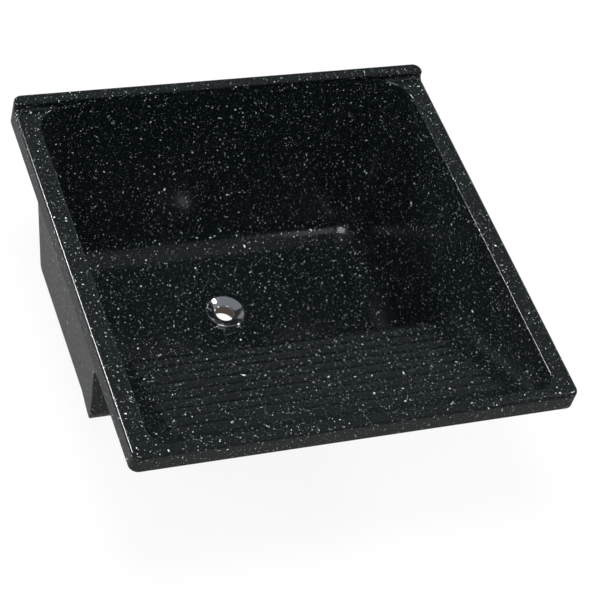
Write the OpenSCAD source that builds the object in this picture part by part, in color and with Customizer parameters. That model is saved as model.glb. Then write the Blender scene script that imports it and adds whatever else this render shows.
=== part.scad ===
// Deep laundry tub of cast polymer, with a washboard cast into the front of
// the bowl, an upstand along the back edge and a flanged waste in the floor.
//
// +X right, +Y back (the wall side), +Z up. The origin is in the middle of the
// rim, on the plane of the skirt's lower edge, which is what the tub sits on.

/* [Rim] */
// Overall width, left to right
tub_w = 600; // [540:5:760]
// Overall depth, front to back
tub_d = 600; // [570:5:720]
// Radius of the rim's corners, seen from above
corner_r = 12; // [8:1:20]
// Height of the skirt, from its lower edge to the flat of the rim
skirt_h = 30; // [24:1:50]
// Thickness of the skirt at the sides
skirt_t = 8; // [6:0.5:12]
// Thickness of the side ledges
rim_t = 9; // [7:0.5:12]
// Radius along the rim's upper outside edge
rim_r = 5.5; // [3:0.5:6.5]
// Radius along the skirt's lower edge
foot_r = 2; // [1:0.5:3]
// Width of the flat ledge at the left and at the right
side_ledge = 27; // [24:1:40]
// Width of the front ledge
front_ledge = 17; // [15:1:30]
// Radius along the edge of the mouth
lip_r = 3.5; // [2:0.5:5]

/* [Upstand] */
// Thickness of the upstand, front to back
upstand_t = 18; // [14:1:28]
// Height of the upstand above the flat of the rim
upstand_h = 12; // [9:1:40]
// Radius along the upstand's upper edges
upstand_r = 4; // [2:0.5:6]
// Radius of the hollow along the upstand's foot
upstand_root_r = 4; // [2:0.5:6]

/* [Bowl] */
// Depth of the bowl, from the flat of the rim to the floor
bowl_depth = 270; // [240:5:320]
// Thickness of the bowl's walls and floor
wall = 8; // [6:0.5:10]
// How far each side wall leans in over the bowl's depth
side_lean = 33; // [15:1:50]
// How far the back wall leans in over the bowl's depth
back_lean = 43; // [15:1:60]
// Radius of the mouth's back corners
mouth_back_r = 42; // [25:1:60]
// Radius of the mouth's front corners
mouth_front_r = 24; // [15:1:40]
// Radius between the floor and the walls
floor_r = 36; // [20:1:45]

/* [Washboard] */
// Distance from the rim's flat down to the washboard, at the front wall
wash_drop = 26; // [20:1:40]
// Angle of the washboard below the horizontal
wash_angle = 24.6; // [18:0.2:28]
// Level run of the washboard, from the front wall to its lower edge
wash_run = 226; // [224:2:240]
// Radius between the washboard and the side walls
wash_root_r = 22; // [12:1:26]
// Radius between the washboard and the front wall
wash_front_r = 16; // [8:1:20]
// Radius along the washboard's lower edge
wash_edge_r = 9; // [4:0.5:9.5]
// How far the wall under that edge leans back over the bowl's depth
drop_lean = 23; // [10:1:40]
// Number of ribs
rib_count = 9; // [5:1:9]
// Distance from one rib to the next, along the slope
rib_pitch = 22.2; // [21:0.1:22.4]
// Width of a rib
rib_w = 20; // [14:0.5:20.5]
// Height of a rib
rib_h = 4; // [2.5:0.25:5]
// Distance along the slope from the front wall to the middle of the first rib
rib_first = 54; // [48:1:55]
// Distance from a rib's end to the side wall, at the washboard's level
rib_margin = 37; // [28:1:60]

/* [Waste] */
// Distance from the back wall's foot to the middle of the waste
waste_back = 126; // [115:1:150]
// How far the floor falls to the waste
floor_fall = 3; // [1.5:0.5:5]
// Diameter of the shallow fall round the waste
fall_d = 170; // [120:5:185]
// Width of the level band round the flange, inside that fall
level_band = 3; // [1:0.5:8]
// Thickness of the floor at the waste
waste_floor_t = 7; // [5:0.5:10]
// Diameter of the boss under the floor at the waste
boss_d = 84; // [72:1:110]
// Diameter of the waste's flange
flange_d = 57.5; // [55:0.5:66]
// Thickness of the flange at its rim
flange_t = 3; // [2.5:0.25:4]
// Width of the band round the flange, outside its dish
flange_band = 2; // [1.25:0.25:3]
// Depth of the dish, from the flange's rim to the edge of its opening
dish_depth = 5; // [3.5:0.25:6]
// Diameter of the opening in the dish
outlet_d = 27; // [22:0.5:30]
// Height of the opening's edge
outlet_edge_h = 2; // [1:0.25:3]
// Outside diameter of the threaded tail, a 1 1/4 inch pipe thread
tail_d = 41.9; // [39:0.1:43]
// Thickness of the tail's wall
tail_wall = 2.5; // [2:0.25:3.5]
// Length of bare tail below the nut
tail_end = 6.5; // [5:0.5:30]
// How much of that is left at the tail's full diameter
tail_end_full = 0.5; // [0.25:0.25:2]
// Depth turned off the rest of it, so that a nut starts easily
tail_end_cut = 0.3; // [0.1:0.05:0.6]

/* [Seals and nut] */
// Clearance between the tail and the hole in the floor
hole_clearance = 0.8; // [0.5:0.1:1.5]
// Clearance between the tail and the seals and washer
ring_clearance = 0.3; // [0.1:0.05:0.6]
// Clearance between the tail and the back nut
thread_clearance = 0.05; // [0.02:0.01:0.1]
// Thickness of the seal under the flange
flange_seal_t = 1; // [0.75:0.25:2]
// How far the flange stands out past its seal
flange_seal_inset = 1.5; // [0.5:0.25:3]
// Thickness of the rubber washer under the floor
floor_seal_t = 2.5; // [2:0.25:6]
// Diameter of the rubber washer under the floor
floor_seal_d = 62; // [58:1:68]
// Thickness of the slip washer
slip_washer_t = 1; // [0.75:0.25:2]
// Diameter of the slip washer
slip_washer_d = 60; // [57:1:66]
// Height of the back nut
nut_h = 6.5; // [6:0.5:16]
// Width of the back nut across its flats
nut_af = 50; // [48:0.5:54]
// Diameter of the nut's collar, which bears on the slip washer
nut_collar_d = 57; // [56:0.5:64]
// Height of the nut's collar
nut_collar_h = 2; // [1.5:0.25:3]

/* [Hidden] */
ball_fn = 32;      // facets round the balls in the bowl's hull
corner_fn = 64;    // facets round the mouth's corners in the bowl's hull
arc_fn = 96;       // round shapes that stay true
skin = 0.01;       // thickness of a hull's flat end
over = 20;         // how far a cutter runs past what it cuts
lip_land = 1;      // height of the upright band under the mouth's rounded edge
graze = 0.03;      // keeps a round corner from only just touching its planes

casting_grey = [0.14, 0.15, 0.16];
chrome_tint = [0.80, 0.81, 0.83];
rubber_black = [0.08, 0.08, 0.08];
washer_white = [0.86, 0.86, 0.83];
nut_grey = [0.60, 0.62, 0.64];

// Levels
rim_top = skirt_h;
floor_z = rim_top - bowl_depth;
drain_z = floor_z - floor_fall;          // the level spot round the waste
underside_z = drain_z - waste_floor_t;   // the boss's face

// The bowl's walls are planes: where each one is, at a depth below the rim
mouth_x = tub_w / 2 - side_ledge;
mouth_back = tub_d / 2 - upstand_t;
mouth_front = front_ledge - tub_d / 2;
function side_at(depth) = mouth_x - side_lean * depth / bowl_depth;
function back_at(depth) = mouth_back - back_lean * depth / bowl_depth;
function front_at(depth) = mouth_front + mouth_front_r * depth / bowl_depth;

// The washboard: places on it by the distance s down its slope
wash_len = wash_run / cos(wash_angle);
function wash_y(s) = mouth_front + s * cos(wash_angle);
function wash_z(s) = rim_top - wash_drop - s * sin(wash_angle);
drop_angle = atan(drop_lean / bowl_depth);

// The waste: the flange stacks up from the level spot, the nut down from the boss
waste_y = back_at(bowl_depth) - waste_back;
flange_under = drain_z + flange_seal_t;
flange_top = flange_under + flange_t;
outlet_z = flange_top - dish_depth;
floor_seal_z = underside_z - floor_seal_t;
slip_washer_z = floor_seal_z - slip_washer_t;
nut_z = slip_washer_z - nut_h;
tail_z = nut_z - tail_end;
ring_bore = tail_d + 2 * ring_clearance;

// ------------------------------------------------------- shared outlines

// An outline drawn in Y and Z, drawn out along X
module along_x(length) {
    rotate([90, 0, 90])
        linear_extrude(length, center = true)
            children();
}

// An outline drawn in X and Z, drawn out along Y
module along_y(length) {
    rotate([90, 0, 0])
        linear_extrude(length, center = true)
            children();
}

// A rectangle in the middle of the rim, with radius r at its corners
module rim_outline(r) {
    square([tub_w - 2 * r, tub_d], center = true);
    square([tub_w, tub_d - 2 * r], center = true);
    for (sx = [-1, 1], sy = [-1, 1])
        translate([sx * (tub_w / 2 - r), sy * (tub_d / 2 - r)])
            circle(r = r, $fn = arc_fn);
}

// A bar's end view, centred and standing on zero, rounded above and below
module bar_section(w, h, r_top, r_foot) {
    translate([-w / 2, r_foot])
        square([w, h - r_top - r_foot]);
    translate([r_top - w / 2, h / 2])
        square([w - 2 * r_top, h / 2]);
    translate([r_foot - w / 2, 0])
        square([w - 2 * r_foot, h / 2]);
    for (side = [-1, 1]) {
        translate([side * (w / 2 - r_top), h - r_top])
            circle(r = r_top, $fn = arc_fn);
        translate([side * (w / 2 - r_foot), r_foot])
            circle(r = r_foot, $fn = arc_fn);
    }
}

// A block on the rim's outline, standing on the skirt's lower edge
module edged_block(h, r_top) {
    intersection() {
        linear_extrude(h)
            rim_outline(corner_r);
        along_x(tub_w + over)
            bar_section(tub_d, h, r_top, foot_r);
        along_y(tub_d + over)
            bar_section(tub_w, h, r_top, foot_r);
    }
}

// ------------------------------------------------------- rim and upstand

// The rim with its skirt. The side ledges are hollow underneath.
module rim() {
    hollow_x = tub_w / 2 - skirt_t;
    hollow_w = hollow_x - side_at(skirt_h);
    difference() {
        edged_block(skirt_h, rim_r);
        for (side = [-1, 1])
            translate([side * (hollow_x - hollow_w / 2), (mouth_back + mouth_front) / 2, 0])
                cube([hollow_w, mouth_back - mouth_front, 2 * (skirt_h - rim_t)], center = true);
    }
}

// The upstand is the back strip of a taller block.
module upstand() {
    total_h = skirt_h + upstand_h;
    intersection() {
        edged_block(total_h, upstand_r);
        translate([0, mouth_back, 0])
            along_x(tub_w + over)
                upstand_section(total_h);
    }
}

// Its end view, measured from its front face and from the skirt's lower edge
module upstand_section(total_h) {
    foot = rim_top - rim_t / 2;
    translate([0, foot])
        square([upstand_t + over, total_h - upstand_r - foot]);
    translate([upstand_r, total_h - 2 * upstand_r])
        square([upstand_t + over, 2 * upstand_r + over]);
    translate([upstand_r, total_h - upstand_r])
        circle(r = upstand_r, $fn = arc_fn);
    difference() {
        translate([-upstand_root_r, foot])
            square([2 * upstand_root_r, upstand_root_r + rim_t / 2]);
        translate([-upstand_root_r, rim_top + upstand_root_r])
            circle(r = upstand_root_r, $fn = arc_fn);
    }
}

// ------------------------------------------------------- bowl

// The bowl without its washboard, with its walls moved out by more
module bowl_form(more) {
    ball_depth = bowl_depth - graze - floor_r * cos(180 / ball_fn);
    ball_x = side_at(ball_depth) - floor_r;
    ball_back = back_at(ball_depth) - floor_r;
    ball_front = front_at(ball_depth) + floor_r;
    hull() {
        translate([0, 0, rim_top - lip_r - skin])
            linear_extrude(skin)
                for (side = [-1, 1]) {
                    translate([side * (side_at(lip_r) - mouth_back_r), back_at(lip_r) - mouth_back_r])
                        circle(r = mouth_back_r + more, $fn = corner_fn);
                    translate([side * (side_at(lip_r) - mouth_front_r), front_at(lip_r) + mouth_front_r])
                        circle(r = mouth_front_r + more, $fn = corner_fn);
                }
        for (side = [-1, 1], y = [ball_front, ball_back])
            translate([side * ball_x, y, rim_top - ball_depth])
                sphere(r = floor_r + more, $fn = ball_fn);
    }
}

// The mouth's outline, seen from above
module mouth_outline() {
    translate([-mouth_x, mouth_front + mouth_front_r])
        square([2 * mouth_x, mouth_back - mouth_back_r - mouth_front - mouth_front_r]);
    translate([mouth_front_r - mouth_x, mouth_front])
        square([2 * (mouth_x - mouth_front_r), mouth_front_r + over]);
    translate([mouth_back_r - mouth_x, mouth_back - mouth_back_r - over])
        square([2 * (mouth_x - mouth_back_r), mouth_back_r + over]);
    for (side = [-1, 1]) {
        translate([side * (mouth_x - mouth_front_r), mouth_front + mouth_front_r])
            circle(r = mouth_front_r, $fn = arc_fn);
        translate([side * (mouth_x - mouth_back_r), mouth_back - mouth_back_r])
            circle(r = mouth_back_r, $fn = arc_fn);
    }
}

// What rounding takes off the mouth's edge, which is at zero: the ledge lies
// to the right of the edge and below it
module lip_section() {
    difference() {
        translate([-1, -lip_r])
            square([1 + lip_r, 2 * lip_r]);
        translate([lip_r, -lip_r])
            circle(r = lip_r, $fn = arc_fn);
    }
}

// The rounding of the mouth's edge, along both sides and the front
module lip_cut() {
    side_run = mouth_back - mouth_back_r - mouth_front - mouth_front_r;
    side_y = (mouth_back - mouth_back_r + mouth_front + mouth_front_r) / 2;
    for (flip = [0, 1])
        mirror([flip, 0, 0]) {
            translate([mouth_x, side_y, rim_top])
                along_y(side_run)
                    lip_section();
            translate([mouth_x - mouth_front_r, mouth_front + mouth_front_r, rim_top])
                rotate([0, 0, -90])
                    rotate_extrude(angle = 90, $fn = arc_fn)
                        translate([mouth_front_r, 0])
                            lip_section();
            intersection() {
                translate([mouth_x - mouth_back_r, mouth_back - mouth_back_r, rim_top])
                    rotate_extrude(angle = 90, $fn = arc_fn)
                        translate([mouth_back_r, 0])
                            lip_section();
                translate([0, mouth_back - 3 * mouth_back_r, rim_top - over])
                    cube([tub_w, 3 * mouth_back_r, 2 * over]);
            }
        }
    translate([0, mouth_front, rim_top])
        mirror([0, 1, 0])
            along_x(2 * (mouth_x - mouth_front_r))
                lip_section();
}

// ------------------------------------------------------- washboard

// Directions in Y and Z: down the slope, down the wall under its edge, and
// straight out of each
down_slope = [cos(wash_angle), -sin(wash_angle)];
down_wall = [sin(drop_angle), -cos(drop_angle)];
off_slope = [sin(wash_angle), cos(wash_angle)];
off_wall = [cos(drop_angle), sin(drop_angle)];
wash_edge = [wash_y(wash_len), wash_z(wash_len)];
fold = 90 - wash_angle - drop_angle;     // how far the surface turns at the edge

// Where the two planes meet when each is moved out of the solid by gap
function edge_at(gap) = wash_edge + gap * (off_slope + tan(fold / 2) * down_slope);

// The round corner between the floor and the wall under the washboard
toe_y = wash_edge[0] + (wash_edge[1] - floor_z) * tan(drop_angle);
toe_centre = [toe_y + floor_r * (1 - sin(drop_angle)) / cos(drop_angle), floor_z + floor_r];

// The washboard's end view in Y and Z, without ribs and with a sharp edge
module wash_section() {
    front = wash_edge - (wash_len + over) * down_slope;
    low = wash_edge + bowl_depth * down_wall;
    root = wash_front_r * (1 - sin(wash_angle)) / cos(wash_angle);
    root_z = wash_z(0) + root;
    polygon([front, wash_edge, low, [front[0], low[1]]]);
    difference() {
        polygon([
            [mouth_front - over, root_z],
            [mouth_front + wash_front_r, root_z],
            [wash_y(root), wash_z(root)],
            [mouth_front - over, wash_z(root)]
        ]);
        translate([mouth_front + wash_front_r, root_z])
            circle(r = wash_front_r - graze, $fn = arc_fn);
    }
    difference() {
        translate([toe_y - over, floor_z - over])
            square([toe_centre[0] - toe_y + over, over + floor_r - floor_r * sin(drop_angle)]);
        translate(toe_centre)
            circle(r = floor_r, $fn = arc_fn);
    }
}

// What rounding takes off its lower edge
module wash_edge_cut() {
    reach = wash_edge_r * tan(fold / 2);
    upper = wash_edge - reach * down_slope;
    lower = wash_edge + reach * down_wall;
    centre = upper - wash_edge_r * off_slope;
    difference() {
        polygon([upper, upper + off_slope, edge_at(1), lower + off_wall, lower, centre]);
        translate(centre)
            circle(r = wash_edge_r, $fn = arc_fn);
    }
}

// The round corner between the right side wall and a plane of the washboard,
// which starts at a place in Y and Z and runs down at an angle
module side_corner(start, angle, length) {
    lean = side_lean / bowl_depth;
    open = atan(lean * cos(angle));      // how far the wall leans from the plane's normal
    turn = atan(lean * sin(angle));      // how far the corner turns inwards
    r = wash_root_r;
    centre = [-r * (1 - sin(open)) / cos(open), -r];
    touch = centre + r * [cos(open), sin(open)];
    translate([side_at(rim_top - start[1]), start[0], start[1]])
        rotate([-90 - angle, 0, 0])
            rotate([0, -turn, 0])
                translate([0, 0, -over])
                    linear_extrude(length + 2 * over)
                        difference() {
                            polygon([
                                [centre[0], over],
                                [2 * over, over],
                                [2 * over, touch[1]],
                                touch,
                                centre
                            ]);
                            translate(centre)
                                circle(r = r - graze, $fn = arc_fn);
                        }
}

// Both round corners at the side walls. Each is the corner along the slope,
// mitred with the corner down the wall under the edge.
module side_corners() {
    inner_x = side_at(bowl_depth) - wash_root_r;
    for (flip = [0, 1])
        mirror([flip, 0, 0])
            intersection() {
                union() {
                    side_corner([mouth_front, wash_z(0)], wash_angle, wash_len);
                    translate([inner_x + tub_w / 2, 0, 0])
                        along_x(tub_w)
                            under_slope();
                }
                union() {
                    side_corner(wash_edge, 90 - drop_angle, bowl_depth);
                    translate([inner_x + tub_w / 2, 0, 0])
                        along_x(tub_w)
                            before_drop();
                }
            }
}

// Where the round corner begins on the washboard, at a distance s down it
function root_x(s) = side_at(rim_top - wash_z(s)) - wash_root_r;

// All that is below the slope, run on past its lower edge
module under_slope() {
    front = wash_edge - 2 * wash_len * down_slope;
    back = wash_edge + wash_len * down_slope;
    polygon([front, back, [back[0], floor_z - over], [front[0], floor_z - over]]);
}

// All that is in front of the wall under the edge, run on up past the edge
module before_drop() {
    high = wash_edge - wash_len * down_wall;
    low = wash_edge + bowl_depth * down_wall;
    polygon([high, low, low - [wash_len + tub_d, 0], high - [wash_len + tub_d, 0]]);
}

// One rib: the top of a round bar with round ends, on the slope at s
module rib(s) {
    bar_r = (rib_w * rib_w / 4 + rib_h * rib_h) / (2 * rib_h);
    end_x = side_at(rim_top - wash_z(s)) - rib_margin - rib_w / 2;
    translate([0, wash_y(s), wash_z(s)])
        rotate([-wash_angle, 0, 0])
            translate([0, 0, rib_h - bar_r]) {
                rotate([0, 90, 0])
                    cylinder(r = bar_r, h = 2 * end_x, center = true, $fn = arc_fn);
                for (side = [-1, 1])
                    translate([side * end_x, 0, 0])
                        sphere(r = bar_r, $fn = arc_fn);
            }
}

// All that stands in the bowl's front: washboard, corners and ribs
module washboard() {
    difference() {
        union() {
            along_x(tub_w)
                wash_section();
            side_corners();
        }
        along_x(2 * root_x(wash_len) + wash_edge_r)
            wash_edge_cut();
    }
    for (i = [0 : rib_count - 1])
        rib(rib_first + i * rib_pitch);
}

// The open space under the washboard, outside the tub
module under_washboard() {
    corner = edge_at(-wall);
    far_front = corner - 2 * wash_len * down_slope;
    far_low = corner + 2 * bowl_depth * down_wall;
    touch = toe_centre - (floor_r + wall) * off_wall;
    along_x(tub_w + over) {
        polygon([far_front, corner, far_low, [far_front[0], far_low[1]]]);
        difference() {
            polygon([touch, far_low, [toe_centre[0], far_low[1]], toe_centre]);
            translate(toe_centre)
                circle(r = floor_r + wall, $fn = arc_fn);
        }
    }
}

// ------------------------------------------------------- the casting

// What the fall round the waste takes off the floor
module floor_fall_cut() {
    translate([0, waste_y, 0])
        rotate_extrude($fn = arc_fn)
            polygon([
                [0, drain_z],
                [flange_d / 2 + level_band, drain_z],
                [fall_d / 2, floor_z],
                [fall_d / 2, floor_z + 1],
                [0, floor_z + 1]
            ]);
}

module tub() {
    color(casting_grey)
        difference() {
            union() {
                rim();
                upstand();
                difference() {
                    bowl_form(wall);
                    under_washboard();
                }
                translate([0, waste_y, underside_z])
                    cylinder(d = boss_d, h = floor_z - underside_z, $fn = arc_fn);
            }
            difference() {
                bowl_form(0);
                washboard();
            }
            translate([0, 0, rim_top - lip_r - lip_land])
                linear_extrude(upstand_h + over)
                    mouth_outline();
            lip_cut();
            floor_fall_cut();
            translate([0, waste_y, underside_z - over])
                cylinder(d = tail_d + 2 * hole_clearance, h = 3 * over, $fn = arc_fn);
        }
}

// ------------------------------------------------------- the waste

// A ring round the waste's axis, standing at z
module waste_ring(z, h, d, bore) {
    translate([0, waste_y, z])
        difference() {
            cylinder(d = d, h = h, $fn = arc_fn);
            translate([0, 0, -over])
                cylinder(d = bore, h = h + 2 * over, $fn = arc_fn);
        }
}

// Flange, dish and threaded tail in one turned piece
module waste_flange() {
    rim_x = flange_d / 2;
    dish_x = rim_x - flange_band;
    outlet_x = outlet_d / 2;
    tail_x = tail_d / 2;
    edge = flange_t / 3;
    color(chrome_tint)
        translate([0, waste_y, 0])
            rotate_extrude($fn = arc_fn)
                difference() {
                    polygon([
                        [outlet_x, outlet_z],
                        [dish_x, flange_top],
                        [rim_x, flange_top],
                        [rim_x, flange_under],
                        [tail_x, flange_under],
                        [tail_x, nut_z - tail_end_full],
                        [tail_x - tail_end_cut, nut_z - tail_end_full],
                        [tail_x - tail_end_cut, tail_z],
                        [tail_x - tail_wall, tail_z],
                        [tail_x - tail_wall, outlet_z - outlet_edge_h],
                        [outlet_x, outlet_z - outlet_edge_h]
                    ]);
                    difference() {
                        translate([rim_x - edge, flange_top - edge])
                            square(2 * edge);
                        translate([rim_x - edge, flange_top - edge])
                            circle(r = edge, $fn = arc_fn);
                    }
                }
}

module flange_seal() {
    color(rubber_black)
        waste_ring(drain_z, flange_seal_t, flange_d - 2 * flange_seal_inset, ring_bore);
}

module floor_seal() {
    color(rubber_black)
        waste_ring(floor_seal_z, floor_seal_t, floor_seal_d, ring_bore);
}

module slip_washer() {
    color(washer_white)
        waste_ring(slip_washer_z, slip_washer_t, slip_washer_d, ring_bore);
}

// A thin hexagon nut with a round collar above
module back_nut() {
    color(nut_grey)
        translate([0, waste_y, nut_z])
            difference() {
                union() {
                    cylinder(d = nut_af / cos(30), h = nut_h, $fn = 6);
                    translate([0, 0, nut_h - nut_collar_h])
                        cylinder(d = nut_collar_d, h = nut_collar_h, $fn = arc_fn);
                }
                translate([0, 0, -over])
                    cylinder(d = tail_d + 2 * thread_clearance, h = nut_h + 2 * over, $fn = arc_fn);
            }
}

tub();
waste_flange();
flange_seal();
floor_seal();
slip_washer();
back_nut();
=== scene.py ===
# Deep laundry tub in glossy black cast polymer with white flecks, with a ribbed
# washboard in the bowl and a chrome waste in the floor. Metres, +Z up, origin in
# the middle of the rim on the plane of the skirt's lower edge.

import math

import bmesh
import bpy
import numpy as np
from mathutils import Matrix, Vector


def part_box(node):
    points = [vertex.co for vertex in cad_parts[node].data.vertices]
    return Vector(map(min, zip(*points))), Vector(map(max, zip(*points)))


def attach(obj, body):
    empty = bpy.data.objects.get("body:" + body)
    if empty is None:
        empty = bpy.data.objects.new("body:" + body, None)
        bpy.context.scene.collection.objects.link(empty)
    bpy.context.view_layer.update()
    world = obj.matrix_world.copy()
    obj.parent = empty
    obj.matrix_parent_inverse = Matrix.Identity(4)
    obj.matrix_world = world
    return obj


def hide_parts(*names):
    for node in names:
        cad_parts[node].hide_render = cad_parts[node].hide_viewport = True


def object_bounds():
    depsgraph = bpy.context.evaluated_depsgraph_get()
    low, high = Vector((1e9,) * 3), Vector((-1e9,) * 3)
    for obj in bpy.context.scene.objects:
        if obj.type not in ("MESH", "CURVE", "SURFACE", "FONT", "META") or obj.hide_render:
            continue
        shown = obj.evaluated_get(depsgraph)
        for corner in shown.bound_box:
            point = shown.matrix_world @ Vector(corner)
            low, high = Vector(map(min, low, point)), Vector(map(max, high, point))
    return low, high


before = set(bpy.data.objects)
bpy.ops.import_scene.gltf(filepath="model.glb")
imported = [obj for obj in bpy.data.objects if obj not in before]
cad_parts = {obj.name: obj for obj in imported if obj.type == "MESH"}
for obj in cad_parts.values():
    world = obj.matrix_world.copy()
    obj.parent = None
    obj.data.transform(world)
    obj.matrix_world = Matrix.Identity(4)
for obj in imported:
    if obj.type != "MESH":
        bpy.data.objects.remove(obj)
cad_low, cad_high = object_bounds()

MM = 0.001

# ---------------------------------------------------------------- sizes

tub_low, tub_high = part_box("tub")
HALF_W = tub_high.x
HALF_D = tub_high.y
UPSTAND_TOP = tub_high.z
UNDERSIDE = tub_low.z

CORNER_R = 12 * MM
RIM_TOP = 30 * MM
RIM_T = 9 * MM
RIM_R = 5.5 * MM
FOOT_R = 2 * MM
SKIRT_T = 8 * MM
SKIRT_ROOT_R = 3 * MM
CHANNEL_INSET = 4 * MM
LIP_R = 3.5 * MM
UPSTAND_T = 18 * MM
UPSTAND_R = 4 * MM
UPSTAND_ROOT_R = 4 * MM

MOUTH_X = HALF_W - 27 * MM
MOUTH_FRONT = 17 * MM - HALF_D
MOUTH_BACK = HALF_D - UPSTAND_T
MOUTH_FRONT_R = 24 * MM
MOUTH_BACK_R = 42 * MM
BOWL_DEPTH = 270 * MM
WALL = 8 * MM
SIDE_ANGLE = math.atan(33 * MM / BOWL_DEPTH)
BACK_ANGLE = math.atan(43 * MM / BOWL_DEPTH)
FRONT_ANGLE = math.atan(MOUTH_FRONT_R / BOWL_DEPTH)
FLOOR_R = 36 * MM
FLOOR = RIM_TOP - BOWL_DEPTH

WASH_TOP = RIM_TOP - 26 * MM
WASH_ANGLE = math.radians(24.6)
WASH_LEN = 226 * MM / math.cos(WASH_ANGLE)
WASH_ROOT_R = 22 * MM
WASH_FRONT_R = 16 * MM
WASH_EDGE_R = 9 * MM
DROP_ANGLE = math.atan(23 * MM / BOWL_DEPTH)
WASH_FOLD = math.sin(WASH_ANGLE + DROP_ANGLE)
RIB_COUNT = 9
RIB_PITCH = 22.2 * MM
RIB_HALF_W = 10 * MM
RIB_H = 4 * MM
RIB_FIRST = 54 * MM
RIB_MARGIN = 37 * MM
RIB_GROOVE_R = 1.8 * MM

flange_low, flange_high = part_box("waste_flange")
WASTE_Y = (flange_low.y + flange_high.y) / 2
FLANGE_R = flange_high.x
FLANGE_TOP = flange_high.z
FLANGE_UNDER = FLANGE_TOP - 3 * MM
TAIL_END = flange_low.z
TAIL_R = 20.95 * MM
TAIL_BORE_R = TAIL_R - 2.5 * MM
THREAD_PITCH = 25.4 * MM / 11
THREAD_DEPTH = 1.1 * MM
BARE_END = TAIL_END + 6 * MM
BARE_R = TAIL_R - 0.3 * MM
DISH_R = FLANGE_R - 2 * MM
OUTLET_R = 13.5 * MM
OUTLET_TOP = FLANGE_TOP - 5 * MM
OUTLET_H = 2 * MM
FALL = 3 * MM
FALL_R = 85 * MM
FALL_INNER_R = FLANGE_R + 3 * MM
BOSS_R = 42 * MM
BOSS_EDGE_R = 1 * MM
BOSS_ROOT_R = 2 * MM
HOLE_R = TAIL_R + 0.8 * MM
HOLE_EDGE_R = 0.6 * MM

# How far to each side of an edge its rounding changes into the next one's.
BACK_BLEND = 30 * MM
WASH_BLEND = 12 * MM
UNDER_BLEND = 15 * MM


# ---------------------------------------------------------------- camera

def make_camera():
    """The photograph's view, from the left of the front edge and above it."""
    data = bpy.data.cameras.new("camera")
    data.sensor_width = 36
    data.lens = 127.9
    data.clip_start = 0.05
    data.clip_end = 50
    cam = bpy.data.objects.new("camera", data)
    bpy.context.scene.collection.objects.link(cam)
    place = Vector((-1.0142, -1.6581, 2.0284))
    right = Vector((0.92401, -0.31872, 0.21123))
    ahead = Vector((0.36546, 0.57371, -0.73301)).normalized()
    up = right.cross(ahead).normalized()
    right = ahead.cross(up)
    turn = Matrix((right, up, -ahead)).transposed().to_4x4()
    cam.matrix_world = Matrix.Translation(place) @ turn
    bpy.context.scene.camera = cam


# ---------------------------------------------------------------- solid shapes
# A shape is a function of x, y and z that gives a distance: below zero inside
# the material, above zero outside it.

def mix(a, b, share):
    return a + (b - a) * share


def ramp(value, start, end):
    """0 before start, 1 after end, and a smooth rise between them."""
    share = np.clip((value - start) / (end - start), 0, 1)
    return share * share * (3 - 2 * share)


def both(a, b, r, lean=0):
    """What lies in a and in b, with the edge between them rounded to r. lean is
    the cosine of the angle between the directions that a and b grow in."""
    from_a = r + a
    from_b = r + b
    on_arc = (from_a > lean * from_b) & (from_b > lean * from_a)
    square = from_a ** 2 + from_b ** 2 - 2 * lean * from_a * from_b
    arc = np.sqrt(np.maximum(square, 0) / (1 - lean ** 2)) - r
    return np.where(on_arc, arc, np.maximum(a, b))


def either(a, b, r, lean=0):
    """What lies in a or in b, with the hollow between them rounded to r."""
    return -both(-a, -b, r, lean)


def rounded_plan(x, y, r):
    """The rim's outline from above."""
    over_x = np.abs(x) - HALF_W + r
    over_y = np.abs(y) - HALF_D + r
    outside = np.hypot(np.maximum(over_x, 0), np.maximum(over_y, 0))
    return outside + np.minimum(np.maximum(over_x, over_y), 0) - r


def floor_level(x, y):
    """The height of the bowl's floor, which falls to the waste."""
    from_waste = np.hypot(x, y - WASTE_Y)
    return FLOOR - FALL * (1 - ramp(from_waste, FALL_INNER_R, FALL_R))


def bowl_walls(x, y, z):
    """How far a place is out past the bowl's sides, back and front."""
    depth = RIM_TOP - np.minimum(z, RIM_TOP - LIP_R)
    side = (np.abs(x) - MOUTH_X) * math.cos(SIDE_ANGLE) + depth * math.sin(SIDE_ANGLE)
    back = (y - MOUTH_BACK) * math.cos(BACK_ANGLE) + depth * math.sin(BACK_ANGLE)
    front = (MOUTH_FRONT - y) * math.cos(FRONT_ANGLE) + depth * math.sin(FRONT_ANGLE)
    return side, back, front


def bowl_sides(x, y, z, more):
    """The four walls of the bowl, moved out by more."""
    side, back, front = bowl_walls(x, y, z)
    share = (RIM_TOP - z) / BOWL_DEPTH
    back_r = mix(MOUTH_BACK_R, FLOOR_R, share)
    front_r = mix(MOUTH_FRONT_R, FLOOR_R, share)
    behind = both(side - more, back - more, back_r + more)
    before = both(side - more, front - more, front_r + more)
    return np.where(y > 0, behind, before)


def bowl(x, y, z):
    """The inside of the bowl as if it had no washboard."""
    side, back, _ = bowl_walls(x, y, z)
    to_back = ramp(back - side, -BACK_BLEND, BACK_BLEND)
    lean = mix(math.sin(SIDE_ANGLE), math.sin(BACK_ANGLE), to_back)
    return both(bowl_sides(x, y, z, 0), floor_level(x, y) - z, FLOOR_R, lean)


def slope_places(y, z):
    """How far a place is down the washboard, above it, and out of the wall under it."""
    ahead = y - MOUTH_FRONT
    high = z - WASH_TOP
    along = ahead * math.cos(WASH_ANGLE) - high * math.sin(WASH_ANGLE)
    above = ahead * math.sin(WASH_ANGLE) + high * math.cos(WASH_ANGLE)
    edge_ahead = WASH_LEN * math.cos(WASH_ANGLE)
    edge_high = -WASH_LEN * math.sin(WASH_ANGLE)
    past = ahead - edge_ahead
    over = high - edge_high
    out = past * math.cos(DROP_ANGLE) + over * math.sin(DROP_ANGLE)
    return along, above, out


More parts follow.
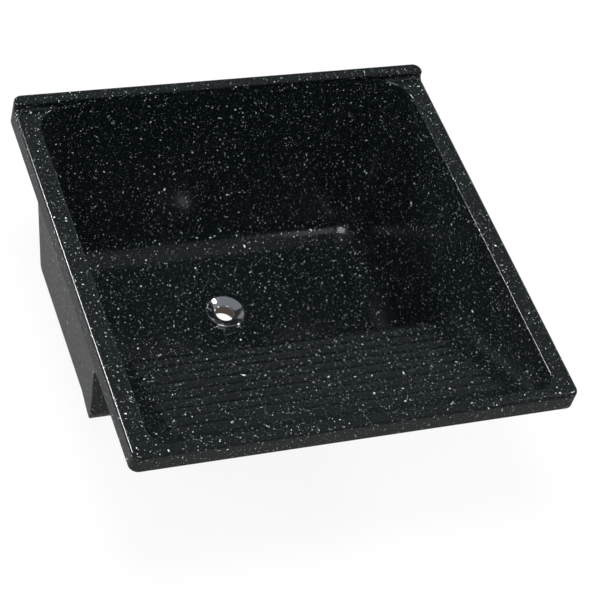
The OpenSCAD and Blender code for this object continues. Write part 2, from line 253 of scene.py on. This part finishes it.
def rib_height(x, along):
    """How far the ribs stand above the slope: each is the crown of a round bar."""
    number = np.clip(np.round((along - RIB_FIRST) / RIB_PITCH), 0, RIB_COUNT - 1)
    middle = RIB_FIRST + number * RIB_PITCH
    depth = RIM_TOP - WASH_TOP + middle * math.sin(WASH_ANGLE)
    end = MOUTH_X - math.tan(SIDE_ANGLE) * depth - RIB_MARGIN - RIB_HALF_W
    away = np.hypot(along - middle, np.maximum(np.abs(x) - end, 0))
    bar_r = (RIB_HALF_W ** 2 + RIB_H ** 2) / (2 * RIB_H)
    crown = np.sqrt(np.maximum(bar_r ** 2 - away ** 2, 0)) - bar_r + RIB_H
    crown = np.where(away < bar_r, crown, RIB_H - bar_r)
    return -either(-crown, 0 * crown, RIB_GROOVE_R)


def washboard(x, y, z):
    """All that fills the front of the bowl."""
    along, above, out = slope_places(y, z)
    return both(above - rib_height(x, along), out, WASH_EDGE_R, WASH_FOLD)


def hollow(x, y, z):
    """The space inside the tub, open at the top."""
    side, _, front = bowl_walls(x, y, z)
    on_front = ramp(front - side, -WASH_BLEND, WASH_BLEND)
    on_floor = ramp(FLOOR - z - np.maximum(side, front), -WASH_BLEND, WASH_BLEND)
    root = mix(mix(WASH_ROOT_R, WASH_FRONT_R, on_front), FLOOR_R, on_floor)
    side_lean = math.sin(SIDE_ANGLE) * math.cos(WASH_ANGLE)
    lean = mix(side_lean, math.sin(FRONT_ANGLE + WASH_ANGLE), on_front)
    lean = mix(lean, math.sin(DROP_ANGLE), on_floor)
    return both(bowl(x, y, z), -washboard(x, y, z), root, lean)


def shell(x, y, z):
    """The outside of the bowl, cut away under the washboard."""
    _, above, out = slope_places(y, z)
    low = FLOOR - WALL - z
    slab = either(-above - WALL, -out - WALL, FOOT_R, WASH_FOLD)
    slab = both(slab, low, FLOOR_R + WALL, math.sin(DROP_ANGLE))
    on_floor = ramp(low + out + WALL, -UNDER_BLEND, UNDER_BLEND)
    root = mix(FOOT_R, FLOOR_R + WALL, on_floor)
    sides = both(bowl_sides(x, y, z, WALL), z - RIM_TOP + RIM_T / 2, FOOT_R)
    return both(sides, slab, root, math.sin(SIDE_ANGLE) * on_floor)


def rim(x, y, z):
    """The rim with its skirt and the upstand along the back, hollow at both sides."""
    plan = rounded_plan(x, y, CORNER_R)
    upstand = both(z - UPSTAND_TOP, MOUTH_BACK - y, UPSTAND_R)
    top = either(z - RIM_TOP, upstand, UPSTAND_ROOT_R)
    edge_r = mix(RIM_R, UPSTAND_R, ramp(y, MOUTH_BACK - UPSTAND_ROOT_R, MOUTH_BACK))
    block = both(both(plan, top, edge_r), -z, FOOT_R)
    inner = MOUTH_X - CHANNEL_INSET
    channel = both(np.abs(x) - HALF_W + SKIRT_T, inner - np.abs(x), FOOT_R)
    channel = both(channel, z - RIM_TOP + RIM_T, FOOT_R)
    channel = both(channel, np.maximum(MOUTH_FRONT - y, y - MOUTH_BACK), FOOT_R)
    return both(block, -channel, FOOT_R)


def casting(x, y, z):
    """The whole tub."""
    from_waste = np.hypot(x, y - WASTE_Y)
    body = either(rim(x, y, z), shell(x, y, z), SKIRT_ROOT_R)
    boss = both(from_waste - BOSS_R, np.maximum(UNDERSIDE - z, z - FLOOR), BOSS_EDGE_R)
    body = either(body, boss, BOSS_ROOT_R)
    body = both(body, -hollow(x, y, z), LIP_R)
    return both(body, HOLE_R - from_waste, HOLE_EDGE_R)


# ---------------------------------------------------------------- meshes from shapes

def graded(*stretches):
    """Grid lines for stretches of (start, end, spacing) that follow each other."""
    lines = [np.array([stretches[0][0]])]
    for start, end, spacing in stretches:
        count = max(1, round((end - start) / spacing))
        lines.append(np.linspace(start, end, count + 1)[1:])
    return np.concatenate(lines)


def slopes(shape, points):
    """Which way the shape's distance grows at each point, and how fast."""
    step = 0.05 * MM
    x, y, z = points.T
    return np.stack([
        shape(x + step, y, z) - shape(x - step, y, z),
        shape(x, y + step, z) - shape(x, y - step, z),
        shape(x, y, z + step) - shape(x, y, z - step),
    ], axis=1) / (2 * step)


def settle(shape, points, rounds):
    """Moves points straight onto the shape's surface."""
    least = 0.05
    for _ in range(rounds):
        way = slopes(shape, points)
        size = np.maximum((way ** 2).sum(axis=1), least)
        points = points - way * (shape(*points.T) / size)[:, None]
    return points


def surface_net(shape, xs, ys, zs):
    """A closed mesh of quads along the shape's surface, one corner in each grid
    cell that the surface crosses."""
    values = shape(*np.meshgrid(xs, ys, zs, indexing="ij", sparse=True))
    axes = (xs, ys, zs)
    cells = np.array(values.shape) - 1
    strides = np.array([cells[1] * cells[2], cells[2], 1])
    sums = np.zeros((cells.prod(), 3))
    hits = np.zeros(cells.prod())
    quads = []
    for axis in range(3):
        u, v = (axis + 1) % 3, (axis + 2) % 3
        near = np.take(values, range(cells[axis]), axis=axis)
        far = np.take(values, range(1, cells[axis] + 1), axis=axis)
        place = np.stack(np.nonzero((near < 0) != (far < 0)), axis=1)
        a = near[tuple(place.T)]
        b = far[tuple(place.T)]
        point = np.stack([axes[k][place[:, k]] for k in range(3)], axis=1)
        ahead = axes[axis][place[:, axis] + 1]
        point[:, axis] = mix(point[:, axis], ahead, a / (a - b))
        ring = []
        for du, dv in ((0, 0), (-1, 0), (-1, -1), (0, -1)):
            cell = place.copy()
            cell[:, u] += du
            cell[:, v] += dv
            ring.append(cell @ strides)
        for at in ring:
            hits += np.bincount(at, minlength=len(hits))
            for k in range(3):
                sums[:, k] += np.bincount(at, weights=point[:, k], minlength=len(hits))
        ring = np.stack(ring, axis=1)
        quads.append(np.where((a < 0)[:, None], ring, ring[:, ::-1]))
    used = np.nonzero(hits)[0]
    index = np.zeros(len(hits), np.int64)
    index[used] = np.arange(len(used))
    points = sums[used] / hits[used][:, None]
    return points, index[np.concatenate(quads)]


def even_out(shape, points, quads, rounds):
    """Spaces the corners evenly along the surface."""
    pull = 0.6
    one = quads.ravel()
    other = np.roll(quads, -1, axis=1).ravel()
    count = np.bincount(one, minlength=len(points)) + np.bincount(other, minlength=len(points))
    for _ in range(rounds):
        middle = np.stack([
            np.bincount(one, weights=points[other, k], minlength=len(points))
            + np.bincount(other, weights=points[one, k], minlength=len(points))
            for k in range(3)
        ], axis=1) / count[:, None]
        points = settle(shape, mix(points, middle, pull), 1)
    return points


def piece_from(name, points, faces, normals=None):
    """A Blender object from corners and faces, shaded smoothly."""
    mesh = bpy.data.meshes.new(name)
    mesh.from_pydata(points, [], faces)
    mesh.update()
    mesh.shade_smooth()
    if normals is not None:
        mesh.normals_split_custom_set_from_vertices(normals)
    ob = bpy.data.objects.new(name, mesh)
    bpy.context.scene.collection.objects.link(ob)
    return ob


# ---------------------------------------------------------------- turned pieces

TURNED_SHARP = math.radians(40)
NUT_SHARP = math.radians(24)


def arc(cx, cz, r, start, end, steps=6):
    """Points on an arc in a turned piece's outline, by angles in degrees."""
    angles = np.radians(np.linspace(start, end, steps + 1))
    return [(cx + r * math.cos(t), cz + r * math.sin(t)) for t in angles]


def turned(name, outline, around=144, bend=None):
    """A ring round the waste's axis from a closed outline in radius and height."""
    outline = np.array(outline)
    angles = np.arange(around) * 2 * math.pi / around
    r = np.repeat(outline[None, :, 0], around, axis=0)
    z = np.repeat(outline[None, :, 1], around, axis=0)
    turn = np.repeat(angles[:, None], len(outline), axis=1)
    if bend:
        r = bend(r, z, turn)
    points = np.stack([r * np.cos(turn), WASTE_Y + r * np.sin(turn), z], axis=2).reshape(-1, 3)
    n = len(outline)
    i = np.arange(around)[:, None]
    j = np.arange(n)[None, :]
    k = (i + 1) % around
    m = (j + 1) % n
    faces = np.stack([i * n + j, k * n + j, k * n + m, i * n + m], axis=2).reshape(-1, 4)
    ob = piece_from(name, points, faces)
    face_outwards(ob)
    ob.data.set_sharp_from_angle(angle=TURNED_SHARP)
    return ob


def face_outwards(ob):
    """Turns every face outwards."""
    build = bmesh.new()
    build.from_mesh(ob.data)
    bmesh.ops.recalc_face_normals(build, faces=build.faces)
    build.to_mesh(ob.data)
    build.free()


# ---------------------------------------------------------------- materials

def new_material(name):
    mat = bpy.data.materials.new(name)
    mat.use_nodes = True
    nodes = mat.node_tree.nodes
    links = mat.node_tree.links
    shader = nodes["Principled BSDF"]
    return mat, nodes, links, shader


def new_group(name, inputs, outputs):
    """An empty node group with named sockets. inputs are (name, kind, default)."""
    group = bpy.data.node_groups.new(name, "ShaderNodeTree")
    for socket_name, kind, default in inputs:
        socket = group.interface.new_socket(socket_name, in_out="INPUT", socket_type=kind)
        socket.default_value = default
    for socket_name, kind in outputs:
        group.interface.new_socket(socket_name, in_out="OUTPUT", socket_type=kind)
    start = group.nodes.new("NodeGroupInput")
    end = group.nodes.new("NodeGroupOutput")
    return group, start, end


def place_group(nodes, group, **values):
    node = nodes.new("ShaderNodeGroup")
    node.node_tree = group
    for name, value in values.items():
        node.inputs[name].default_value = value
    return node


def math_node(nodes, links, operation, *values, clamp=False):
    """A Math node whose inputs are numbers or sockets."""
    node = nodes.new("ShaderNodeMath")
    node.operation = operation
    node.use_clamp = clamp
    for i, value in enumerate(values):
        if isinstance(value, bpy.types.NodeSocket):
            links.new(value, node.inputs[i])
        else:
            node.inputs[i].default_value = value
    return node.outputs[0]


def vector_node(nodes, links, operation, *values, scale=None):
    """A Vector Math node whose inputs are vectors or sockets."""
    node = nodes.new("ShaderNodeVectorMath")
    node.operation = operation
    for i, value in enumerate(values):
        if isinstance(value, bpy.types.NodeSocket):
            links.new(value, node.inputs[i])
        else:
            node.inputs[i].default_value = value
    if scale is not None:
        links.new(scale, node.inputs["Scale"])
    return node.outputs[0]


def fleck_group():
    """One size of fleck: scattered chips, drawn out along a direction that drifts
    from place to place, each with its own size and brightness."""
    group, start, end = new_group(
        "flecks",
        [
            ("Spacing", "NodeSocketFloat", 0.006),
            ("Share", "NodeSocketFloat", 0.3),
            ("Size", "NodeSocketFloat", 0.2),
            ("Turn", "NodeSocketVector", (0, 0, 0)),
            ("Stretch", "NodeSocketVector", (1, 1, 1)),
        ],
        [("Mask", "NodeSocketFloat"), ("Random", "NodeSocketFloat")],
    )
    drift_pace = 0.6
    drift_reach = 2.6
    smallest = 0.45
    spread = 0.7
    soft_edge = 0.05
    nodes, links = group.nodes, group.links
    place = nodes.new("ShaderNodeTexCoord").outputs["Object"]
    scale = math_node(nodes, links, "DIVIDE", 1.0, start.outputs["Spacing"])
    drift = nodes.new("ShaderNodeTexNoise")
    drift.inputs["Detail"].default_value = 2
    links.new(place, drift.inputs["Vector"])
    links.new(math_node(nodes, links, "MULTIPLY", scale, drift_pace), drift.inputs["Scale"])
    centred = vector_node(nodes, links, "SUBTRACT", drift.outputs["Color"], (0.5, 0.5, 0.5))
    reach = math_node(nodes, links, "MULTIPLY", start.outputs["Spacing"], drift_reach)
    bent = vector_node(nodes, links, "SCALE", centred, scale=reach)
    moved = vector_node(nodes, links, "ADD", place, bent)
    turned_to = nodes.new("ShaderNodeMapping")
    turned_to.vector_type = "POINT"
    links.new(moved, turned_to.inputs["Vector"])
    links.new(start.outputs["Turn"], turned_to.inputs["Rotation"])
    drawn = vector_node(nodes, links, "DIVIDE", turned_to.outputs[0], start.outputs["Stretch"])
    cells = nodes.new("ShaderNodeTexVoronoi")
    links.new(drawn, cells.inputs["Vector"])
    links.new(scale, cells.inputs["Scale"])
    split = nodes.new("ShaderNodeSeparateColor")
    links.new(cells.outputs["Color"], split.inputs[0])
    chosen = math_node(nodes, links, "LESS_THAN", split.outputs[0], start.outputs["Share"])
    sized = math_node(nodes, links, "MULTIPLY_ADD", split.outputs[1], spread, smallest)
    limit = math_node(nodes, links, "MULTIPLY", sized, start.outputs["Size"])
    near = math_node(nodes, links, "SUBTRACT", limit, cells.outputs["Distance"])
    soft = math_node(nodes, links, "DIVIDE", near, soft_edge, clamp=True)
    links.new(math_node(nodes, links, "MULTIPLY", soft, chosen), end.inputs["Mask"])
    links.new(split.outputs[2], end.inputs["Random"])
    return group


def soft_bump_group():
    """The long shallow waves of a moulded gloss surface."""
    group, start, end = new_group(
        "soft_waves",
        [("Spacing", "NodeSocketFloat", 0.02)],
        [("Height", "NodeSocketFloat")],
    )
    nodes, links = group.nodes, group.links
    place = nodes.new("ShaderNodeTexCoord")
    noise = nodes.new("ShaderNodeTexNoise")
    links.new(place.outputs["Object"], noise.inputs["Vector"])
    scale = math_node(nodes, links, "DIVIDE", 1.0, start.outputs["Spacing"])
    links.new(scale, noise.inputs["Scale"])
    noise.inputs["Detail"].default_value = 3
    links.new(noise.outputs["Fac"], end.inputs["Height"])
    return group


def bump_from(nodes, links, height, distance, strength=1.0):
    bump = nodes.new("ShaderNodeBump")
    bump.inputs["Distance"].default_value = distance
    bump.inputs["Strength"].default_value = strength
    links.new(height, bump.inputs["Height"])
    return bump.outputs["Normal"]


def cast_polymer(flecks, waves):
    """Glossy black casting with white chips of several sizes in it."""
    mat, nodes, links, shader = new_material("cast_polymer")
    cloud_from = 0.47
    cloud_gain = 5.0
    least_rough = 0.15
    more_rough = 0.06
    kinds = [
        # spacing, share, size, turn, stretch, least and most brightness
        (1.5 * MM, 0.60, 0.26, (0.3, 0.2, 0.9), (1.0, 1.3, 1.0), 0.02, 0.30),
        (2.2 * MM, 0.42, 0.21, (1.1, 0.4, 0.2), (1.7, 0.9, 0.9), 0.04, 2.60),
        (4.0 * MM, 0.38, 0.13, (0.5, 0.2, 0.4), (3.2, 0.8, 0.8), 0.15, 3.00),
        (4.3 * MM, 0.38, 0.13, (0.3, 0.6, 0.9), (0.8, 3.4, 0.8), 0.15, 3.00),
        (4.6 * MM, 0.38, 0.13, (0.7, 0.4, 0.1), (0.8, 0.8, 3.2), 0.15, 3.00),
        (8 * MM, 0.38, 0.13, (0.9, 2.2, 0.4), (1.5, 1.0, 0.8), 0.80, 3.00),
    ]
    mask = None
    for spacing, share, size, turn, stretch, least, most in kinds:
        node = place_group(
            nodes, flecks, Spacing=spacing, Share=share, Size=size, Turn=turn, Stretch=stretch
        )
        random = node.outputs["Random"]
        skewed = math_node(nodes, links, "POWER", random, 3.0)
        bright = math_node(nodes, links, "MULTIPLY_ADD", skewed, most - least, least)
        one = math_node(nodes, links, "MULTIPLY", node.outputs["Mask"], bright)
        mask = one if mask is None else math_node(nodes, links, "MAXIMUM", mask, one)
    grain = place_group(nodes, waves, Spacing=1.5 * MM)
    cloud = math_node(nodes, links, "SUBTRACT", grain.outputs["Height"], cloud_from)
    cloud = math_node(nodes, links, "MULTIPLY", cloud, cloud_gain, clamp=True)
    base = nodes.new("ShaderNodeMix")
    base.data_type = "RGBA"
    base.inputs["A"].default_value = (0.0010, 0.0018, 0.0019, 1)
    base.inputs["B"].default_value = (0.006, 0.0095, 0.0105, 1)
    links.new(cloud, base.inputs["Factor"])
    colour = nodes.new("ShaderNodeMix")
    colour.data_type = "RGBA"
    links.new(base.outputs["Result"], colour.inputs["A"])
    colour.inputs["B"].default_value = (0.80, 0.85, 0.86, 1)
    links.new(mask, colour.inputs["Factor"])
    links.new(colour.outputs["Result"], shader.inputs["Base Color"])
    height = place_group(nodes, waves, Spacing=30 * MM).outputs["Height"]
    rough = math_node(nodes, links, "MULTIPLY_ADD", height, more_rough, least_rough)
    links.new(rough, shader.inputs["Roughness"])
    normal = bump_from(nodes, links, height, 0.25 * MM)
    links.new(normal, shader.inputs["Normal"])
    return mat


def plated_brass(waves):
    """Bright plating, with the dull brass of the bore inside."""
    mat, nodes, links, shader = new_material("plated_brass")
    edge = 0.5 * MM
    bore_reach = TAIL_BORE_R + 0.4 * MM
    least_rough = 0.05
    more_rough = 0.08
    bore_rough = 0.4
    shader.inputs["Metallic"].default_value = 1
    place = nodes.new("ShaderNodeTexCoord")
    split = nodes.new("ShaderNodeSeparateXYZ")
    links.new(place.outputs["Object"], split.inputs[0])
    below = math_node(nodes, links, "SUBTRACT", OUTLET_TOP - OUTLET_H, split.outputs["Z"])
    deep = math_node(nodes, links, "DIVIDE", below, edge, clamp=True)
    off_axis = math_node(nodes, links, "SUBTRACT", split.outputs["Y"], WASTE_Y)
    x_square = math_node(nodes, links, "POWER", split.outputs["X"], 2.0)
    y_square = math_node(nodes, links, "POWER", off_axis, 2.0)
    square = math_node(nodes, links, "ADD", x_square, y_square)
    radius = math_node(nodes, links, "POWER", square, 0.5)
    within = math_node(nodes, links, "LESS_THAN", radius, bore_reach)
    bore = math_node(nodes, links, "MULTIPLY", deep, within)
    colour = nodes.new("ShaderNodeMix")
    colour.data_type = "RGBA"
    colour.inputs["A"].default_value = (0.70, 0.71, 0.74, 1)
    colour.inputs["B"].default_value = (0.30, 0.24, 0.20, 1)
    links.new(bore, colour.inputs["Factor"])
    links.new(colour.outputs["Result"], shader.inputs["Base Color"])
    height = place_group(nodes, waves, Spacing=6 * MM).outputs["Height"]
    worn = math_node(nodes, links, "MULTIPLY_ADD", height, more_rough, least_rough)
    rough = math_node(nodes, links, "MULTIPLY_ADD", bore, bore_rough, worn)
    links.new(rough, shader.inputs["Roughness"])
    links.new(bump_from(nodes, links, height, 0.03 * MM), shader.inputs["Normal"])
    return mat


def moulded(waves, name, pale, dark, rough, grain, relief):
    """Rubber or plastic with a fine grain, between two tones of its colour."""
    mat, nodes, links, shader = new_material(name)
    more_rough = 0.15
    height = place_group(nodes, waves, Spacing=grain).outputs["Height"]
    tone = nodes.new("ShaderNodeMix")
    tone.data_type = "RGBA"
    tone.inputs["A"].default_value = (*dark, 1)
    tone.inputs["B"].default_value = (*pale, 1)
    links.new(height, tone.inputs["Factor"])
    links.new(tone.outputs["Result"], shader.inputs["Base Color"])
    roughness = math_node(nodes, links, "MULTIPLY_ADD", height, more_rough, rough)
    links.new(roughness, shader.inputs["Roughness"])
    links.new(bump_from(nodes, links, height, relief), shader.inputs["Normal"])
    return mat


def seal_rubber(waves):
    pale = (0.035, 0.035, 0.036)
    dark = (0.015, 0.015, 0.016)
    return moulded(waves, "seal_rubber", pale, dark, rough=0.55, grain=2 * MM, relief=0.06 * MM)


def washer_plastic(waves):
    pale = (0.80, 0.80, 0.76)
    dark = (0.66, 0.66, 0.62)
    return moulded(waves, "washer_plastic", pale, dark, rough=0.35, grain=4 * MM, relief=0.03 * MM)


def nut_plastic(waves):
    pale = (0.38, 0.40, 0.42)
    dark = (0.29, 0.31, 0.33)
    return moulded(waves, "nut_plastic", pale, dark, rough=0.32, grain=3 * MM, relief=0.05 * MM)


# ---------------------------------------------------------------- pieces

def finish_piece(ob, node, mat):
    ob.data.materials.append(mat)
    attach(ob, "root")
    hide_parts(node)


def make_tub(mat):
    """The casting, meshed finely along its edges and ribs and coarsely on flats."""
    coarse = 1.0
    fine = 1.5 * MM * coarse
    medium = 2.4 * MM * coarse
    wide = 4.8 * MM * coarse
    past = 1.13 * MM
    side_in = MOUTH_X - 11 * MM
    rib_out = MOUTH_X - 62 * MM
    boss_out = BOSS_R + 6 * MM
    wash_start = MOUTH_FRONT + 14 * MM
    wash_end = MOUTH_FRONT + WASH_LEN * math.cos(WASH_ANGLE) + 14 * MM
    back_start = MOUTH_BACK - 14 * MM
    wall_start = FLOOR + 2 * MM
    rim_start = -4 * MM
    xs = graded(
        (-HALF_W - past, -side_in, fine),
        (-side_in, -rib_out, medium),
        (-rib_out, -boss_out, wide),
        (-boss_out, boss_out, medium),
        (boss_out, rib_out, wide),
        (rib_out, side_in, medium),
        (side_in, HALF_W + past, fine),
    )
    ys = graded(
        (-HALF_D - past, wash_start, fine),
        (wash_start, wash_end, medium * 0.85),
        (wash_end, WASTE_Y - boss_out, wide),
        (WASTE_Y - boss_out, WASTE_Y + boss_out, medium),
        (WASTE_Y + boss_out, back_start, wide),
        (back_start, HALF_D + past, fine),
    )
    zs = graded(
        (UNDERSIDE - past, wall_start, fine * 1.2),
        (wall_start, rim_start, wide * 0.8),
        (rim_start, UPSTAND_TOP + past, fine),
    )
    points, quads = surface_net(casting, xs, ys, zs)
    points = settle(casting, points, 2)
    points = even_out(casting, points, quads, 2)
    points = settle(casting, points, 2)
    normals = slopes(casting, points)
    normals /= np.linalg.norm(normals, axis=1)[:, None]
    ob = piece_from("tub_casting", points, quads, normals)
    finish_piece(ob, "tub", mat)


def thread(r, z, turn):
    """Cuts a thread into the tail below the nut's seat."""
    phase = (z / THREAD_PITCH + turn / (2 * math.pi)) % 1
    cut = THREAD_DEPTH * (0.5 + 0.5 * np.cos(2 * math.pi * phase))
    on_tail = (r > BARE_R - 0.01 * MM) & (z < UNDERSIDE - 1 * MM)
    run_out = ramp(z, TAIL_END, TAIL_END + 1.2 * MM)
    crest = np.where(z < BARE_END, BARE_R, TAIL_R)
    return np.where(on_tail, crest - cut * run_out, r)


def make_flange(mat):
    """The cup of the waste with its threaded tail."""
    lip = 1 * MM
    bead = 0.6 * MM
    sag = 0.5 * MM
    tail_top = FLANGE_UNDER - 0.3 * MM
    tail_foot = TAIL_END + 0.6 * MM
    tail = [(TAIL_R, z) for z in np.linspace(tail_top, tail_foot, 72)]
    dish = []
    for t in np.linspace(0.05, 1, 14):
        r = mix(OUTLET_R + 1.4 * bead, DISH_R - 0.5 * MM, t)
        z = mix(OUTLET_TOP - 0.1 * MM, FLANGE_TOP - 0.35 * MM, t)
        dish.append((r, z - sag * math.sin(math.pi * t)))
    outline = [
        *arc(OUTLET_R + bead, OUTLET_TOP - bead, bead, 180, 75),
        *dish,
        (DISH_R, FLANGE_TOP),
        *arc(FLANGE_R - lip, FLANGE_TOP - lip, lip, 90, 0),
        (FLANGE_R, FLANGE_UNDER + 0.2 * MM),
        (FLANGE_R - 0.2 * MM, FLANGE_UNDER),
        (TAIL_R + 0.3 * MM, FLANGE_UNDER),
        *tail,
        (BARE_R - 0.6 * MM, TAIL_END),
        (TAIL_BORE_R + 0.3 * MM, TAIL_END),
        (TAIL_BORE_R, TAIL_END + 0.3 * MM),
        (TAIL_BORE_R, OUTLET_TOP - OUTLET_H - 0.4 * MM),
        (TAIL_BORE_R - 0.4 * MM, OUTLET_TOP - OUTLET_H),
        (OUTLET_R + 0.3 * MM, OUTLET_TOP - OUTLET_H),
        (OUTLET_R, OUTLET_TOP - OUTLET_H + 0.3 * MM),
    ]
    ob = turned("waste_flange_turned", outline, bend=thread)
    finish_piece(ob, "waste_flange", mat)


def ring_outline(node, bore_r, r, bulge=0.0):
    """The outline of a flat ring with soft corners, as high as its node."""
    low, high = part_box(node)
    out = high.x - bulge
    middle = (low.z + high.z) / 2
    return [
        *arc(bore_r + r, low.z + r, r, 180, 270, 3),
        *arc(out - r, low.z + r, r, 270, 350, 3),
        (out + bulge, middle),
        *arc(out - r, high.z - r, r, 10, 90, 3),
        *arc(bore_r + r, high.z - r, r, 90, 180, 3),
    ]


def make_rings(rubber, washer):
    bore_r = TAIL_R + 0.3 * MM
    rings = (
        ("flange_seal", "seal_rubber", rubber, 0.3 * MM, 0.1 * MM),
        ("floor_seal", "seal_rubber", rubber, 0.7 * MM, 0.35 * MM),
        ("slip_washer", "washer_plastic", washer, 0.25 * MM, 0.0),
    )
    for node, slot, mat, r, bulge in rings:
        ob = turned(node + "_ring", ring_outline(node, bore_r, r, bulge))
        finish_piece(ob, node, mat)


def make_nut(mat):
    """The thin hexagon nut with its round collar, chamfered like a real one."""
    low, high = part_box("back_nut")
    flat_r = 25 * MM
    point_r = flat_r / math.cos(math.pi / 6)
    collar_r = 28.5 * MM
    collar_low = high.z - 2 * MM
    collar_edge_r = 0.4 * MM
    chamfer_depth = 1.6 * MM
    chamfer_slope = 1.6
    bore_r = TAIL_R + 0.05 * MM

    def hexagon(r, z, turn):
        part = (turn % (math.pi / 3)) - math.pi / 6
        wall = flat_r / np.cos(part)
        chamfer = point_r - chamfer_depth + np.maximum(z - low.z, 0) * chamfer_slope
        hexed = np.minimum(wall, chamfer)
        inset = np.maximum(low.z + 0.4 * MM - z, 0)
        return np.where((r > flat_r) & (z < collar_low), hexed - inset, r)

    outline = [
        (bore_r + 0.8 * MM, low.z),
        (flat_r - 1 * MM, low.z),
        (point_r, low.z + 0.02 * MM),
        (point_r, low.z + 0.25 * MM),
        (point_r, low.z + 0.6 * MM),
        (point_r, low.z + 1.2 * MM),
        (point_r, low.z + 2.0 * MM),
        (point_r, collar_low - 0.05 * MM),
        (collar_r - 0.5 * MM, collar_low),
        *arc(collar_r - collar_edge_r, collar_low + collar_edge_r, collar_edge_r, 270, 360, 3),
        *arc(collar_r - collar_edge_r, high.z - collar_edge_r, collar_edge_r, 0, 90, 3),
        (bore_r + 0.5 * MM, high.z),
        (bore_r, high.z - 0.5 * MM),
        (bore_r, low.z + 0.8 * MM),
    ]
    ob = turned("back_nut_moulded", outline, around=240, bend=hexagon)
    ob.data.set_sharp_from_angle(angle=NUT_SHARP)
    finish_piece(ob, "back_nut", mat)


# ---------------------------------------------------------------- floor and light

def make_floor():
    """A pale floor under the tail, which looks white and keeps the shadow. Gloss
    and chrome mirror it dimmer than it looks."""
    size = 30
    mirrored = 0.2
    white_share = 0.9
    points = [(-size, -size, 0), (size, -size, 0), (size, size, 0), (-size, size, 0)]
    ob = piece_from("floor", points, [(0, 1, 2, 3)])
    ob.location.z = cad_low.z - 1 * MM
    mat, nodes, links, shader = new_material("floor")
    shader.inputs["Base Color"].default_value = (0.8, 0.8, 0.8, 1)
    shader.inputs["Roughness"].default_value = 0.7
    shader.inputs["Specular IOR Level"].default_value = 0.1
    white = nodes.new("ShaderNodeEmission")
    path = nodes.new("ShaderNodeLightPath")
    blend = nodes.new("ShaderNodeMixShader")
    camera_ray = path.outputs["Is Camera Ray"]
    direct = math_node(nodes, links, "MAXIMUM", camera_ray, path.outputs["Is Transmission Ray"])
    strength = math_node(nodes, links, "MULTIPLY_ADD", direct, 1 - mirrored, mirrored)
    links.new(strength, white.inputs["Strength"])
    seen = math_node(nodes, links, "MAXIMUM", direct, path.outputs["Is Glossy Ray"])
    links.new(math_node(nodes, links, "MULTIPLY", seen, white_share), blend.inputs["Fac"])
    links.new(shader.outputs[0], blend.inputs[1])
    links.new(white.outputs[0], blend.inputs[2])
    links.new(blend.outputs[0], nodes["Material Output"].inputs["Surface"])
    ob.data.materials.append(mat)


def soft_light(name, place, width, height, power, mirrored=True):
    """A soft lamp aimed at the tub. One that isn't mirrored leaves no bright patch
    in gloss and chrome."""
    data = bpy.data.lights.new(name, "AREA")
    data.shape = "RECTANGLE"
    data.size = width
    data.size_y = height
    data.energy = power
    ob = bpy.data.objects.new(name, data)
    bpy.context.scene.collection.objects.link(ob)
    ob.location = place
    ob.rotation_euler = (-Vector(place)).to_track_quat("-Z", "Y").to_euler()
    ob.visible_glossy = mirrored


def make_light():
    """A plain grey room, darker towards the floor, with five soft lamps."""
    world = bpy.data.worlds.new("world")
    bpy.context.scene.world = world
    world.use_nodes = True
    nodes, links = world.node_tree.nodes, world.node_tree.links
    back = nodes["Background"]
    place = nodes.new("ShaderNodeTexCoord")
    split = nodes.new("ShaderNodeSeparateXYZ")
    links.new(place.outputs["Generated"], split.inputs[0])
    rise = nodes.new("ShaderNodeMapRange")
    rise.interpolation_type = "SMOOTHSTEP"
    rise.inputs["From Min"].default_value = 0.05
    rise.inputs["From Max"].default_value = 0.35
    links.new(split.outputs["Z"], rise.inputs["Value"])
    room = nodes.new("ShaderNodeMix")
    room.data_type = "RGBA"
    room.inputs["A"].default_value = (0.06, 0.065, 0.07, 1)
    room.inputs["B"].default_value = (0.22, 0.233, 0.246, 1)
    links.new(rise.outputs["Result"], room.inputs["Factor"])
    path = nodes.new("ShaderNodeLightPath")
    colour = nodes.new("ShaderNodeMix")
    colour.data_type = "RGBA"
    colour.inputs["B"].default_value = (1, 1, 1, 1)
    links.new(room.outputs["Result"], colour.inputs["A"])
    links.new(path.outputs["Is Camera Ray"], colour.inputs["Factor"])
    links.new(colour.outputs["Result"], back.inputs["Color"])
    soft_light("top_softbox", (-0.56, -0.28, 2.7), 1.2, 1.0, 85, mirrored=False)
    soft_light("left_softbox", (-2.2, 1.25, 0.62), 1.0, 0.17, 50)
    soft_light("right_softbox", (2.0, -0.1, 2.0), 0.3, 0.7, 30)
    soft_light("front_fill", (-1.2, -2.4, 2.6), 2.2, 1.6, 62)
    soft_light("right_reflector", (2.3, 1.8, 0.45), 1.6, 0.6, 3)


# ---------------------------------------------------------------- assembly

make_camera()
flecks = fleck_group()
waves = soft_bump_group()
make_tub(cast_polymer(flecks, waves))
make_flange(plated_brass(waves))
make_rings(seal_rubber(waves), washer_plastic(waves))
make_nut(nut_plastic(waves))
make_floor()
make_light()

bpy.context.scene.view_settings.view_transform = "Standard"
